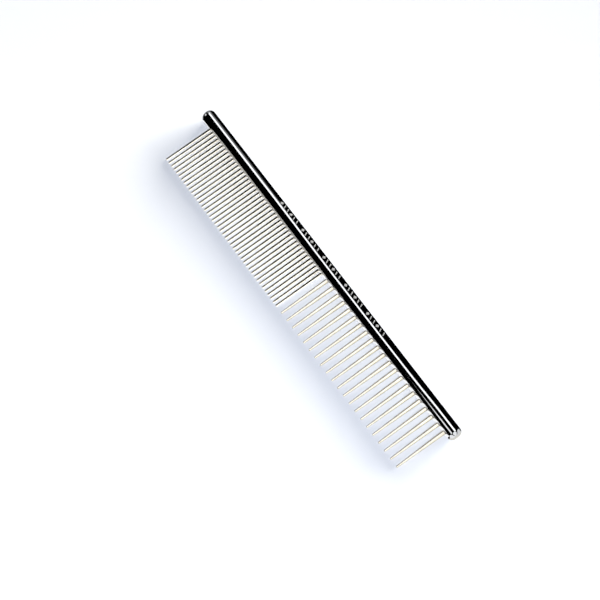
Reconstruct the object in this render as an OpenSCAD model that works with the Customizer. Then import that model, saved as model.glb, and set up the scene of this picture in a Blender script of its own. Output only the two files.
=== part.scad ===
// Steel grooming comb: a round spine with one row of tapered pins, close set on one half and
// wide set on the other.
//
// The comb is drawn as it lies on a table, resting on its spine and on the tips of its pins.
// X runs along the spine, from the fine half (-X) to the coarse half (+X). The pins point to -Y
// and +Z is up. The origin is the bottom centre of the comb's box. All sizes are in millimetres.

/* [Spine] */
// Diameter of the round spine
spine_d = 6.35; // [5:0.05:10]
// Radius that rounds off both ends of the spine
spine_end_round = 2.2; // [0.5:0.1:2.4]
// Plain spine beyond the first close-set pin
fine_end_margin = 7.6; // [4:0.1:30]
// Plain spine beyond the last wide-set pin
coarse_end_margin = 4.9; // [4:0.1:30]

/* [Pin rows] */
// Number of close-set pins
fine_count = 43; // [3:1:60]
// Number of wide-set pins
coarse_count = 21; // [3:1:28]
// Spacing of the close-set pins, centre to centre
fine_pitch = 2; // [1.6:0.1:3]
// Spacing of the wide-set pins, and the gap between the two halves, centre to centre
coarse_pitch = 4; // [2.5:0.1:6]

/* [Pins] */
// Length of a pin outside the spine
pin_reach = 23.5; // [15:0.5:40]
// Depth to which a pin is pressed into the spine
seat_depth = 4; // [2.5:0.1:4.2]
// Diameter of a close-set pin where it enters the spine
fine_root_d = 1.25; // [1:0.05:1.5]
// Diameter of a wide-set pin where it enters the spine
coarse_root_d = 1.9; // [1:0.05:2.2]
// Diameter of every pin's rounded tip
tip_d = 0.9; // [0.6:0.05:1]

/* [Hidden] */
$fn = 64;

spine_r = spine_d / 2;
tip_r = tip_d / 2;

// Lengthways positions, with the middle of the spine at X = 0
fine_span = (fine_count - 1) * fine_pitch;
coarse_span = (coarse_count - 1) * coarse_pitch;
row_span = fine_span + coarse_pitch + coarse_span;
spine_l = fine_end_margin + row_span + coarse_end_margin;
first_fine_x = fine_end_margin - spine_l / 2;
first_coarse_x = first_fine_x + fine_span + coarse_pitch;

// The comb leans until the tips of its pins touch the table
tip_centre = spine_r + pin_reach - tip_r;
lean = asin((spine_r - tip_r) / tip_centre);
depth = spine_r + tip_centre * cos(lean) + tip_r;
spine_y = depth / 2 - spine_r;

// A pressed pin has a small lead-in chamfer, and its socket ends in a 118 degree drill point
lead_in = 0.2;
socket_clearance = 0.1;
drill_half_angle = 59;

// The close-set pins are grouped two to a node
pins_per_group = 2;
fine_groups = ceil(fine_count / pins_per_group);

function two_digits(n) = n < 10 ? str("0", n) : str(n);
function fine_node(group) = str("fine_pins_", two_digits(group));
function coarse_node(number) = str("coarse_pin_", two_digits(number));
function fine_x(number) = first_fine_x + (number - 1) * fine_pitch;
function coarse_x(number) = first_coarse_x + (number - 1) * coarse_pitch;

// Lays the comb on the table, from a frame with the spine's axis on X and the pins along -Y
module lay_down() {
    translate([0, spine_y, spine_r])
        rotate([lean, 0, 0])
            children();
}

// Turns a shape drawn up the Z axis to point along -Y, starting on the spine's axis at x
module along_pin(x) {
    translate([x, 0, 0])
        rotate([90, 0, 0])
            children();
}

// One tapered pin: chamfered end, straight seat, long taper and round tip
module pin(x, root_d) {
    along_pin(x) {
        translate([0, 0, spine_r - seat_depth])
            cylinder(h = lead_in, d1 = root_d - 2 * lead_in, d2 = root_d);
        translate([0, 0, spine_r - seat_depth + lead_in])
            cylinder(h = seat_depth - lead_in, d = root_d);
        translate([0, 0, spine_r])
            cylinder(h = tip_centre - spine_r, d1 = root_d, d2 = tip_d);
        translate([0, 0, tip_centre])
            sphere(d = tip_d);
    }
}

// The drilled hole that a pin is pressed into
module socket(x, root_d) {
    depth_below_axis = spine_r - seat_depth - socket_clearance;
    point_h = root_d / 2 / tan(drill_half_angle);
    along_pin(x) {
        translate([0, 0, depth_below_axis])
            cylinder(h = spine_d, d = root_d);
        translate([0, 0, depth_below_axis - point_h])
            cylinder(h = point_h, d1 = 0, d2 = root_d);
    }
}

// The bar before drilling: a rod whose two ends are rounded to a small flat
module spine_bar() {
    flat_r = spine_r - spine_end_round;
    straight_l = spine_l - 2 * spine_end_round;
    rotate([0, 90, 0]) {
        cylinder(h = straight_l, r = spine_r, center = true);
        cylinder(h = spine_l, r = flat_r, center = true);
        for (side = [-1, 1])
            translate([0, 0, side * straight_l / 2])
                rotate_extrude()
                    translate([flat_r, 0])
                        intersection() {
                            circle(r = spine_end_round);
                            translate([0, -spine_end_round])
                                square([spine_end_round, 2 * spine_end_round]);
                        }
    }
}

module spine() {
    color("gainsboro")
        lay_down()
            difference() {
                spine_bar();
                for (number = [1 : fine_count])
                    socket(fine_x(number), fine_root_d);
                for (number = [1 : coarse_count])
                    socket(coarse_x(number), coarse_root_d);
            }
}

module fine_pins(group) {
    first = (group - 1) * pins_per_group + 1;
    last = min(group * pins_per_group, fine_count);
    color("silver")
        lay_down()
            for (number = [first : last])
                pin(fine_x(number), fine_root_d);
}

module coarse_pin(number) {
    color("silver")
        lay_down()
            pin(coarse_x(number), coarse_root_d);
}

spine();

for (group = [1 : fine_groups])
    fine_pins(group);

for (number = [1 : coarse_count])
    coarse_pin(number);
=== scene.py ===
import math

import bmesh
import bpy
from mathutils import Matrix, Vector


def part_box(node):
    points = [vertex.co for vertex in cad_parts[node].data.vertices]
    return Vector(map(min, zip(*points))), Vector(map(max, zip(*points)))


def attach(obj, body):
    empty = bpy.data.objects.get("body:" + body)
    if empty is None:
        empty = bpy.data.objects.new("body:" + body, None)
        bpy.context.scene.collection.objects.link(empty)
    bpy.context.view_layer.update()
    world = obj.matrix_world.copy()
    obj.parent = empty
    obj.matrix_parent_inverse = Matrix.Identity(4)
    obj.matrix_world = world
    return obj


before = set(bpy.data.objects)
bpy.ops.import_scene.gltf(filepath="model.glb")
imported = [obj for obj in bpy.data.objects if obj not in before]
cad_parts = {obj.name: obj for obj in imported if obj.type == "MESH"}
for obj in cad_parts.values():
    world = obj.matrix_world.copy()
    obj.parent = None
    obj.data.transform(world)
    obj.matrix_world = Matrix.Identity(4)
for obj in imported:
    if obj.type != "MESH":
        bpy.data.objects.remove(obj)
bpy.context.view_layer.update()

# Looks, light and camera for a steel grooming comb. The comb lies on a pale floor at Z = 0, with
# its spine along X, the close-set pins on the -X half and the pins pointing to -Y. Everything is
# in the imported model's frame, in metres and degrees. An azimuth counts from -Y towards +X, and a
# lean counts from straight up towards +Y.

MM = 0.001

# ---- the comb's own measures and nodes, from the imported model

spine_low, spine_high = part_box("spine")
spine_r = (spine_high.z - spine_low.z) / 2
spine_length = spine_high.x - spine_low.x
spine_axis = Vector((0, (spine_low.y + spine_high.y) / 2, (spine_low.z + spine_high.z) / 2))
SPINE = ["spine"]
FINE_PINS = sorted(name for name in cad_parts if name.startswith("fine_pins"))
COARSE_PINS = sorted(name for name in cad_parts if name.startswith("coarse_pin"))
PINS = FINE_PINS + COARSE_PINS

# ---- camera, aimed at a point of the floor under the pins

CAMERA_AZIMUTH = 55.5
CAMERA_ELEVATION = 69.1
CAMERA_ROLL = -0.8
CAMERA_DISTANCE = 0.503
CAMERA_TARGET = Vector((4.95 * MM, -4.9 * MM, 0))
CAMERA_CLIP_START = 0.01
CAMERA_CLIP_END = 20
LENS_MM = 72
SENSOR_WIDTH_MM = 36

# ---- etched ornament on the back of the spine: lozenges with slanted strokes between them

# Where it starts and ends, as shares of the spine's length from the spine's middle
ORNAMENT_START = -0.187
ORNAMENT_END = 0.221
ORNAMENT_STEP = 2.2 * MM
ORNAMENT_LEAN = 27
ORNAMENT_HEIGHT = 1.9 * MM
STROKE_WIDTH = 0.5 * MM
STROKE_SLANT = 0.9 * MM
# A lozenge is wider all along by a share of its width, which leaves its two ends blunt
LOZENGE_WIDTH = 1.5 * MM
LOZENGE_BLUNTNESS = 0.05
# A lozenge and two strokes make a motif, and two motifs and a plain place make a group
MARKS_PER_MOTIF = 3
PLACES_PER_GROUP = 7
MARK_ROWS = 9
ETCH_STANDS_PROUD = 0.006 * MM
ETCH_DEPTH = 0.03 * MM

# ---- materials: their colours and roughness, from one end of their variation to the other

CHROME_COLOURS = ((0.62, 0.63, 0.65), (0.54, 0.55, 0.57))
CHROME_ROUGHNESS = (0.035, 0.075)
CHROME_LINE_ROUGHNESS = (0, 0.02)
PIN_COLOURS = ((0.86, 0.83, 0.76), (0.60, 0.57, 0.50))
PIN_ROUGHNESS = (0.13, 0.20)
# How far patches take a pin's colour to its dull end, and how far the pin is darkened towards its root.
# The darkening fades out at the reach given below from the root, and a darkening of 1 would add the
# root roughness given below.
PATCH_DULLNESS = 0.5
ROOT_DULLNESS = 0.3
ROOT_DULLING_REACH = 1.6 * MM
ROOT_ROUGHNESS = 0.2
ETCH_COLOURS = ((0.08, 0.08, 0.085), (0.27, 0.27, 0.27))
ETCH_ROUGHNESS = (0.55, 0.75)
FLOOR_COLOURS = ((0.86, 0.865, 0.88), (0.89, 0.895, 0.905))
FLOOR_ROUGHNESS = 0.9
FLOOR_SPECULAR = 0.1

# How often each pattern varies along X, Y and Z, in 1 / metre
SMUDGE_SCALE = (140, 260, 260)
POLISHING_LINE_SCALE = (60, 5200, 5200)
DRAWN_LINE_SCALE = (4200, 160, 4200)
PIN_PATCH_SCALE = (420, 260, 420)
ETCH_GRAIN_SCALE = (9000, 9000, 9000)
FLOOR_PATCH_SCALE = (6, 6, 6)
# The middle part of a pattern's values, which is spread over a roughness or a dullness
MIDDLE_VALUES = (0.3, 0.7)
SMUDGE_MIDDLE_VALUES = (0.35, 0.75)
LINE_MIDDLE_VALUES = (0.4, 0.8)

# ---- stage: a pale floor, lamps that light it, and glows that only show in the metal

FLOOR_HALF_SIZE = 60
BACKDROP_COLOUR = (1, 1, 1, 1)

# A row of soft suns, low behind the spine, draws the wide shadow past the pins' tips. Softness is
# a sun's width in the sky.
KEY_AZIMUTHS = (163, 171, 179, 187, 195, 203)
KEY_ELEVATION = 8
KEY_SOFTNESS = 10
KEY_STRENGTH = 2.3
KEY_COLOUR = (1.0, 0.98, 0.90)
# A bluish fill from the camera's side: a lamp at the camera's place reaches between the pins
FILL_LAMP_SIZE = 0.05
FILL_LAMP_RADIANCE = 222
FILL_SUN_SOFTNESS = 15
FILL_SUN_STRENGTH = 0.75
FILL_COLOUR = (0.84, 0.89, 1.0)

# Glows are patches of a big sphere round the comb, and each lies a little farther out than the
# one before. A patch is given by its stations. A station is (x, lean_from, lean_to): the X of the
# unit direction, and the leans that the patch spans there.
GLOW_DISTANCE = 8
GLOW_SPACING = 0.02
STEPS_BETWEEN_STATIONS = 12
STEPS_ACROSS = 36
WHITE = (1, 1, 1)
CREAM = (1.0, 0.985, 0.95)
WARM = (1.0, 0.97, 0.88)
# In the spine: the window that draws its long white line
WINDOW = (
    (-0.52, 13, 38),
    (-0.40, 6, 33),
    (-0.36, 4, 29),
    (-0.30, -5, 16),
    (-0.18, -4, 19),
    (-0.15, 8, 32),
    (-0.08, 8, 32),
)
# In the spine: the window's dim curtain, at the close-set end
CURTAIN = ((-0.52, 38, 66), (-0.41, 33, 58), (-0.36, 29, 40))
# In the spine: the lamp in front that draws the short second line near the wide-set end
SLIM_LAMP = ((-0.168, -44, -42), (-0.135, -52, -33), (-0.08, -52, -31))
# In the spine: three soft boxes and the table beyond the wide-set end, which light its dome
END_BOX_FRONT = ((-0.06, -84, -80), (0.3, -125, -50), (1, -125, -50))
END_BOX_ABOVE = ((-0.06, -8, 0), (0.3, -36, 26), (1, -36, 26))
END_BOX_BACK = ((-0.06, 76, 84), (0.3, 42, 118), (1, 42, 118))
END_TABLE = ((-0.06, 170, 182), (0.3, 118, 235), (1, 118, 235))
# In the close-set pins: a soft box far to +X, which leaves most of each pin's -X side dark
FINE_BOX = ((0.78, -55, 60), (1, -75, 75))
# In the wide-set pins: a wide soft box above them, which turns warm towards +X
COARSE_BOX = ((-0.72, -45, 50), (0.40, -45, 50))
COARSE_WARM_BOX = ((0.40, -45, 50), (0.60, -50, 55))
WARM_BOX = ((0.60, -50, 55), (1, -75, 75))
# The white table: TABLE_FAR is below and to +X, and TABLE_NEAR is below and to -Y
TABLE_FAR = ((-0.03, 118, 242), (1, 100, 260))
TABLE_NEAR = ((-0.5, -188, -150), (-0.36, -188, -140), (-0.28, -188, -116), (-0.10, -188, -100))
# Dim lamps and a dim table far to -X, for the views from the +X end
SIDE_LAMP_BACK = ((-0.97, 26, 62), (-0.56, 26, 62))
SIDE_LAMP_FRONT = ((-0.97, -62, -26), (-0.56, -62, -26))
TABLE_SIDE = ((-0.98, -230, -130), (-0.54, -230, -130))
# In the pins: soft boxes in front of the comb and behind it
PIN_BOX_FRONT = ((-0.9, -88, -24), (0.9, -88, -24))
PIN_BOX_BACK = ((-0.9, 26, 85), (0.9, 26, 85))
# Each glow: its name, stations, radiance and colour, and the nodes that mirror it
GLOWS = (
    ("window", WINDOW, 2.0, WHITE, SPINE),
    ("curtain", CURTAIN, 0.28, WHITE, SPINE),
    ("slim_lamp", SLIM_LAMP, 1.3, WHITE, SPINE),
    ("end_box_front", END_BOX_FRONT, 1.35, WHITE, SPINE),
    ("end_box_above", END_BOX_ABOVE, 1.35, WHITE, SPINE),
    ("end_box_back", END_BOX_BACK, 1.1, WHITE, SPINE),
    ("end_table", END_TABLE, 1.05, WARM, SPINE),
    ("fine_box", FINE_BOX, 3.0, CREAM, FINE_PINS),
    ("coarse_box", COARSE_BOX, 1.45, WHITE, COARSE_PINS),
    ("coarse_warm_box", COARSE_WARM_BOX, 1.35, WARM, COARSE_PINS),
    ("warm_box", WARM_BOX, 1.35, WARM, COARSE_PINS),
    ("fine_table", TABLE_FAR, 2.4, CREAM, FINE_PINS),
    ("coarse_table", TABLE_FAR, 0.8, WARM, COARSE_PINS),
    ("table_near", TABLE_NEAR, 1.6, WHITE, SPINE + PINS),
    ("side_lamp_back", SIDE_LAMP_BACK, 0.9, WHITE, SPINE),
    ("side_lamp_front", SIDE_LAMP_FRONT, 0.9, WHITE, SPINE),
    ("table_side", TABLE_SIDE, 0.5, WHITE, SPINE + PINS),
    ("pin_box_front", PIN_BOX_FRONT, 0.8, WHITE, PINS),
    ("pin_box_back", PIN_BOX_BACK, 0.8, WHITE, PINS),
)


# ---- small helpers


def direction(azimuth, elevation):
    """The unit vector from the comb towards that azimuth and elevation."""
    a, e = math.radians(azimuth), math.radians(elevation)
    return Vector((math.sin(a) * math.cos(e), -math.cos(a) * math.cos(e), math.sin(e)))


def between(first, second, share):
    """The number at a share of the way from the first to the second."""
    return first + (second - first) * share


def link_object(name, data):
    """A new object in the scene, holding that mesh, lamp or camera."""
    added = bpy.data.objects.new(name, data)
    bpy.context.scene.collection.objects.link(added)
    return added


class Nodes:
    """Adds nodes to one material and links them."""

    # The places of a Mix node's colour sockets, whose names its other sockets share
    MIX_FIRST = 6
    MIX_SECOND = 7
    MIX_RESULT = 2

    def __init__(self, name):
        self.material = bpy.data.materials.new(name)
        self.material.use_nodes = True
        self.tree = self.material.node_tree
        self.tree.nodes.clear()
        self.shader = self.add("ShaderNodeBsdfPrincipled")
        output = self.add("ShaderNodeOutputMaterial")
        self.link(self.shader.outputs["BSDF"], output.inputs["Surface"])
        self.position = self.add("ShaderNodeTexCoord").outputs["Object"]

    def add(self, kind, **settings):
        """A new node with its settings."""
        node = self.tree.nodes.new(kind)
        for key, value in settings.items():
            setattr(node, key, value)
        return node

    def link(self, source, target):
        """Links an output to an input, or gives the input a number."""
        if isinstance(source, (int, float)):
            target.default_value = source
        else:
            self.tree.links.new(source, target)

    def set(self, key, value):
        """Gives one of the shader's inputs a number or an output."""
        self.link(value, self.shader.inputs[key])

    def stretched(self, scale):
        """The position, scaled by a vector, in 1 / metre."""
        mapping = self.add("ShaderNodeMapping")
        mapping.inputs["Scale"].default_value = scale
        self.link(self.position, mapping.inputs["Vector"])
        return mapping.outputs["Vector"]

    def noise(self, scale, detail):
        """Noise that varies once in about 1 / scale metres along each axis."""
        node = self.add("ShaderNodeTexNoise")
        node.inputs["Scale"].default_value = 1
        node.inputs["Detail"].default_value = detail
        self.link(self.stretched(scale), node.inputs["Vector"])
        return node.outputs["Fac"]

    def spread(self, value, span, to_span):
        """The value, with a span of it spread over another span."""
        node = self.add("ShaderNodeMapRange")
        for key, number in zip(("From Min", "From Max", "To Min", "To Max"), (*span, *to_span)):
            node.inputs[key].default_value = number
        self.link(value, node.inputs["Value"])
        return node.outputs["Result"]

    def combine(self, operation, first, second):
        """The sum, difference or product of two values, each a number or an output."""
        node = self.add("ShaderNodeMath", operation=operation)
        for socket, value in zip(node.inputs, (first, second)):
            self.link(value, socket)
        return node.outputs["Value"]

    def coordinate(self, axis):
        """One coordinate of the position, in metres."""
        node = self.add("ShaderNodeSeparateXYZ")
        self.link(self.position, node.inputs["Vector"])
        return node.outputs[axis]

    def colours(self, value, first, second):
        """A colour from first to second as the value goes from 0 to 1."""
        node = self.add("ShaderNodeMix", data_type="RGBA")
        self.link(value, node.inputs["Factor"])
        node.inputs[self.MIX_FIRST].default_value = (*first, 1)
        node.inputs[self.MIX_SECOND].default_value = (*second, 1)
        return node.outputs[self.MIX_RESULT]

    def bump(self, height, strength, distance):
        """Makes the surface look uneven by a height of up to the distance."""
        node = self.add("ShaderNodeBump")
        node.inputs["Strength"].default_value = strength
        node.inputs["Distance"].default_value = distance
        self.link(height, node.inputs["Height"])
        self.set("Normal", node.outputs["Normal"])


# ---- materials


def chrome_material():
    """Mirror chrome with faint lengthways polishing lines and handling smudges."""
    n = Nodes("polished_chrome")
    smudge = n.noise(SMUDGE_SCALE, detail=4)
    lines = n.noise(POLISHING_LINE_SCALE, detail=2)
    haze = n.spread(smudge, SMUDGE_MIDDLE_VALUES, CHROME_ROUGHNESS)
    grain = n.spread(lines, LINE_MIDDLE_VALUES, CHROME_LINE_ROUGHNESS)
    n.set("Metallic", 1)
    n.set("Base Color", n.colours(smudge, *CHROME_COLOURS))
    n.set("Roughness", n.combine("ADD", haze, grain))
    n.bump(lines, strength=0.04, distance=0.01 * MM)
    return n.material


def pin_material():
    """Polished steel pin, drawn along Y, a little warm, and darker and rougher near its root."""
    n = Nodes("pin_steel")
    drawn = n.noise(DRAWN_LINE_SCALE, detail=3)
    patches = n.noise(PIN_PATCH_SCALE, detail=3)
    from_root = n.combine("SUBTRACT", spine_low.y, n.coordinate("Y"))
    # The pin is darker and rougher near its root, fading out over the reach from the root
    root_dulling = n.spread(from_root, (0, ROOT_DULLING_REACH), (ROOT_DULLNESS, 0))
    tone = n.combine("ADD", n.spread(patches, MIDDLE_VALUES, (0, PATCH_DULLNESS)), root_dulling)
    polish = n.spread(patches, MIDDLE_VALUES, PIN_ROUGHNESS)
    n.set("Metallic", 1)
    n.set("Base Color", n.colours(tone, *PIN_COLOURS))
    n.set("Roughness", n.combine("ADD", polish, n.combine("MULTIPLY", root_dulling, ROOT_ROUGHNESS)))
    n.bump(drawn, strength=0.12, distance=0.02 * MM)
    return n.material


def etched_material():
    """The matt frost of the etched ornament, grainy and uneven."""
    n = Nodes("etched_frost")
    grain = n.noise(ETCH_GRAIN_SCALE, detail=4)
    n.set("Base Color", n.colours(grain, *ETCH_COLOURS))
    n.set("Roughness", n.spread(grain, MIDDLE_VALUES, ETCH_ROUGHNESS))
    n.bump(grain, strength=0.3, distance=0.02 * MM)
    return n.material


def floor_material():
    """A pale matt board with faint, wide patches."""
    n = Nodes("pale_floor")
    patches = n.noise(FLOOR_PATCH_SCALE, detail=2)
    n.set("Base Color", n.colours(patches, *FLOOR_COLOURS))
    n.set("Roughness", FLOOR_ROUGHNESS)
    n.set("Specular IOR Level", FLOOR_SPECULAR)
    return n.material


def glow_material(name, radiance, colour):
    """Glows, and lets whatever is behind it show through."""
    material = bpy.data.materials.new(name)
    material.use_nodes = True
    tree = material.node_tree
    tree.nodes.clear()
    light = tree.nodes.new("ShaderNodeEmission")
    light.inputs["Color"].default_value = (*colour, 1)
    light.inputs["Strength"].default_value = radiance
    clear = tree.nodes.new("ShaderNodeBsdfTransparent")
    both = tree.nodes.new("ShaderNodeAddShader")
    output = tree.nodes.new("ShaderNodeOutputMaterial")
    tree.links.new(light.outputs["Emission"], both.inputs[0])
    tree.links.new(clear.outputs["BSDF"], both.inputs[1])
    tree.links.new(both.outputs["Shader"], output.inputs["Surface"])
    return material


def dress(node, material):
    """Gives a CAD node its material."""
    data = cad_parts[node].data
    data.materials.clear()
    data.materials.append(material)


# ---- etched ornament


def on_spine(x, arc, radius):
    """A point over the spine's surface: arc is measured round it from the ornament's middle line."""
    lean = math.radians(ORNAMENT_LEAN) - arc / spine_r
    y = spine_axis.y + radius * math.sin(lean)
    z = spine_axis.z + radius * math.cos(lean)
    return Vector((x, y, z))


def add_mark(mesh, rows):
    """One thin closed patch on the spine. Each row is (arc, x_from, x_to)."""
    sheets = []
    for radius in (spine_r - ETCH_DEPTH, spine_r + ETCH_STANDS_PROUD):
        sheet = []
        for arc, x_from, x_to in rows:
            sheet.append([mesh.verts.new(on_spine(x, arc, radius)) for x in (x_from, x_to)])
        sheets.append(sheet)
    low, high = sheets
    for i in range(len(rows) - 1):
        mesh.faces.new((high[i][0], high[i][1], high[i + 1][1], high[i + 1][0]))
        mesh.faces.new((low[i][0], low[i + 1][0], low[i + 1][1], low[i][1]))
        for side in (0, 1):
            mesh.faces.new((low[i][side], high[i][side], high[i + 1][side], low[i + 1][side]))
    for i in (0, -1):
        mesh.faces.new((low[i][0], low[i][1], high[i][1], high[i][0]))


def mark_rows(x, half_width_at, centre_at):
    """Rows across the ornament's height, from functions of a share that goes from -1 to 1."""
    rows = []
    for i in range(MARK_ROWS):
        share = 2 * i / (MARK_ROWS - 1) - 1
        middle, half_width = x + centre_at(share), half_width_at(share)
        rows.append((share * ORNAMENT_HEIGHT / 2, middle - half_width, middle + half_width))
    return rows


def lozenge(x):
    """The rows of a lozenge, widest in the middle."""
    widest = 1 + LOZENGE_BLUNTNESS
    return mark_rows(x, lambda share: LOZENGE_WIDTH / 2 * (widest - abs(share)), lambda share: 0)


def stroke(x):
    """The rows of a slanted stroke, of one width."""
    return mark_rows(x, lambda share: STROKE_WIDTH / 2, lambda share: share * STROKE_SLANT / 2)


def add_ornament(material):
    """All the marks as one piece, which is part of the spine's surface."""
    start = ORNAMENT_START * spine_length
    end = ORNAMENT_END * spine_length
    count = int((end - start) / ORNAMENT_STEP)
    built = bmesh.new()
    for i in range(count + 1):
        place = i % PLACES_PER_GROUP
        if place == PLACES_PER_GROUP - 1:
            continue  # the last place of each group stays plain
        x = start + i * ORNAMENT_STEP
        add_mark(built, lozenge(x) if place % MARKS_PER_MOTIF == 0 else stroke(x))
    bmesh.ops.recalc_face_normals(built, faces=built.faces)
    data = bpy.data.meshes.new("etched_ornament")
    built.to_mesh(data)
    built.free()
    data.materials.append(material)
    piece = link_object("etched_ornament", data)
    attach(piece, "root")


# ---- floor, lamps, glows, backdrop and camera


def add_floor():
    """The pale floor. The metal shows the glows instead of it."""
    corners = [(side_x * FLOOR_HALF_SIZE, side_y * FLOOR_HALF_SIZE, 0)
               for side_x, side_y in ((-1, -1), (1, -1), (1, 1), (-1, 1))]
    data = bpy.data.meshes.new("floor")
    data.from_pydata(corners, [], [(0, 1, 2, 3)])
    data.materials.append(floor_material())
    floor = link_object("floor", data)
    floor.visible_glossy = False


def add_sun(name, azimuth, elevation, softness, strength, colour):
    """Even light from one direction, which lights the floor and doesn't show in the metal."""
    data = bpy.data.lights.new(name, "SUN")
    data.energy = strength
    data.color = colour
    data.angle = math.radians(softness)
    sun = link_object(name, data)
    sun.rotation_mode = "QUATERNION"
    sun.rotation_quaternion = (-direction(azimuth, elevation)).to_track_quat("-Z", "Y")
    sun.visible_glossy = False


def camera_place():
    """The camera's place and aim as a matrix, without its roll."""
    back = direction(CAMERA_AZIMUTH, CAMERA_ELEVATION)
    aim = (-back).to_track_quat("-Z", "Y").to_matrix().to_4x4()
    return Matrix.Translation(CAMERA_TARGET + back * CAMERA_DISTANCE) @ aim


def add_fill_lamp():
    """A square lamp at the camera's place, whose shadows hide behind the pins."""
    data = bpy.data.lights.new("fill_lamp", "AREA")
    data.size = FILL_LAMP_SIZE
    # The power that gives a flat lamp of this area its radiance
    data.energy = FILL_LAMP_RADIANCE * FILL_LAMP_SIZE ** 2 * math.pi
    data.color = FILL_COLOUR
    lamp = link_object("fill_lamp", data)
    lamp.matrix_world = camera_place()
    lamp.visible_camera = False
    lamp.visible_glossy = False


def glow_rows(stations):
    """Rows of unit directions over a patch, with steps between its stations."""
    rows = []
    for (x1, from1, to1), (x2, from2, to2) in zip(stations, stations[1:]):
        for i in range(STEPS_BETWEEN_STATIONS + 1):
            share = i / STEPS_BETWEEN_STATIONS
            turn = between(math.asin(x1), math.asin(x2), share)
            lean_from, lean_to = between(from1, from2, share), between(to1, to2, share)
            across = math.cos(turn)
            row = []
            for j in range(STEPS_ACROSS + 1):
                lean = math.radians(between(lean_from, lean_to, j / STEPS_ACROSS))
                row.append(Vector((math.sin(turn), across * math.sin(lean), across * math.cos(lean))))
            rows.append(row)
    return rows


def add_glow(name, stations, radiance, colour, shown_in, distance):
    """A glowing patch of a sphere, which only shows in the metal of the named nodes."""
    built = bmesh.new()
    rows = [[built.verts.new(way * distance) for way in row] for row in glow_rows(stations)]
    for row, following in zip(rows, rows[1:]):
        for i in range(len(row) - 1):
            built.faces.new((row[i], row[i + 1], following[i + 1], following[i]))
    data = bpy.data.meshes.new(name)
    built.to_mesh(data)
    built.free()
    data.materials.append(glow_material(name, radiance, colour))
    glow = link_object(name, data)
    glow.visible_camera = False
    glow.visible_diffuse = False
    glow.visible_shadow = False
    receivers = bpy.data.collections.new(name + "_receivers")
    for node in shown_in:
        receivers.objects.link(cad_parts[node])
    glow.light_linking.receiver_collection = receivers


def add_backdrop():
    """A white room, seen only behind the floor's far edge."""
    world = bpy.data.worlds.new("room")
    world.use_nodes = True
    world.node_tree.nodes["Background"].inputs["Color"].default_value = BACKDROP_COLOUR
    world.cycles_visibility.diffuse = False
    world.cycles_visibility.glossy = False
    bpy.context.scene.world = world


def add_camera():
    """The camera, with the photograph's view of the comb."""
    data = bpy.data.cameras.new("camera")
    data.sensor_width = SENSOR_WIDTH_MM
    data.lens = LENS_MM
    data.clip_start = CAMERA_CLIP_START
    data.clip_end = CAMERA_CLIP_END
    camera = link_object("camera", data)
    roll = Matrix.Rotation(math.radians(CAMERA_ROLL), 4, "Z")
    camera.matrix_world = camera_place() @ roll
    bpy.context.scene.camera = camera


# ---- the scene

chrome = chrome_material()
steel = pin_material()

dress("spine", chrome)
for node in PINS:
    dress(node, steel)
add_ornament(etched_material())

add_floor()
for number, azimuth in enumerate(KEY_AZIMUTHS):
    add_sun(f"key_{number}", azimuth, KEY_ELEVATION, KEY_SOFTNESS, KEY_STRENGTH, KEY_COLOUR)
add_sun("fill_sun", CAMERA_AZIMUTH, CAMERA_ELEVATION, FILL_SUN_SOFTNESS, FILL_SUN_STRENGTH, FILL_COLOUR)
add_fill_lamp()
for number, (name, stations, radiance, colour, shown_in) in enumerate(GLOWS):
    distance = GLOW_DISTANCE + number * GLOW_SPACING
    add_glow(name, stations, radiance, colour, shown_in, distance)
add_backdrop()
add_camera()
bpy.context.scene.view_settings.view_transform = "Standard"
